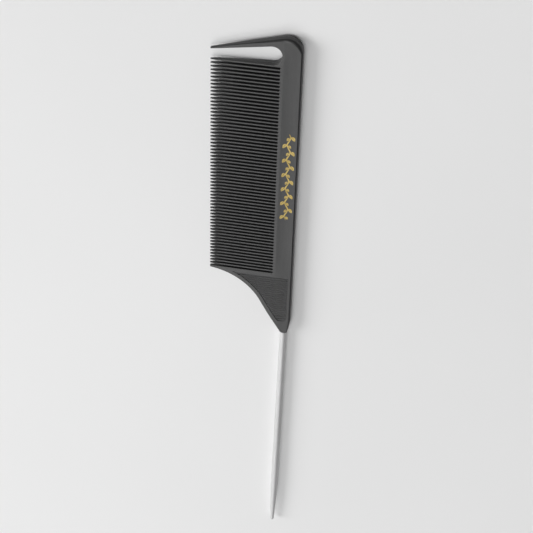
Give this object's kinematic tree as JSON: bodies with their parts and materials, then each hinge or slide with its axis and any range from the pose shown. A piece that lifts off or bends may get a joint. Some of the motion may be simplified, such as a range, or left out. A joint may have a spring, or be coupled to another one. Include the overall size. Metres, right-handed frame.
{
  "type": "rat tail comb",
  "caption": "Flat moulded comb with fine teeth, a pointed parting hook at the head, a ribbed shoulder and a long straight steel tail pin.",
  "frame": {"origin": "under the middle of the comb's box as it lies flat on its plain face", "axes": "+X from the head to the tail tip, +Y from the tooth tips to the back of the spine, +Z out of the stamped face"},
  "size_m": [0.2202, 0.0296, 0.0039],
  "materials": {
    "carbon_plastic": "satin, carbon-filled moulding",
    "steel": "fine lengthwise polish",
    "gold_foil": "hot-stamped foil"
  },
  "bodies": {
    "root": {"spine": "carbon_plastic", "parting_hook": "carbon_plastic", "fine_teeth": "carbon_plastic", "tail_shoulder": "carbon_plastic", "tail_pin": "steel", "foil_mark": "gold_foil"}
  },
  "joints": []
}
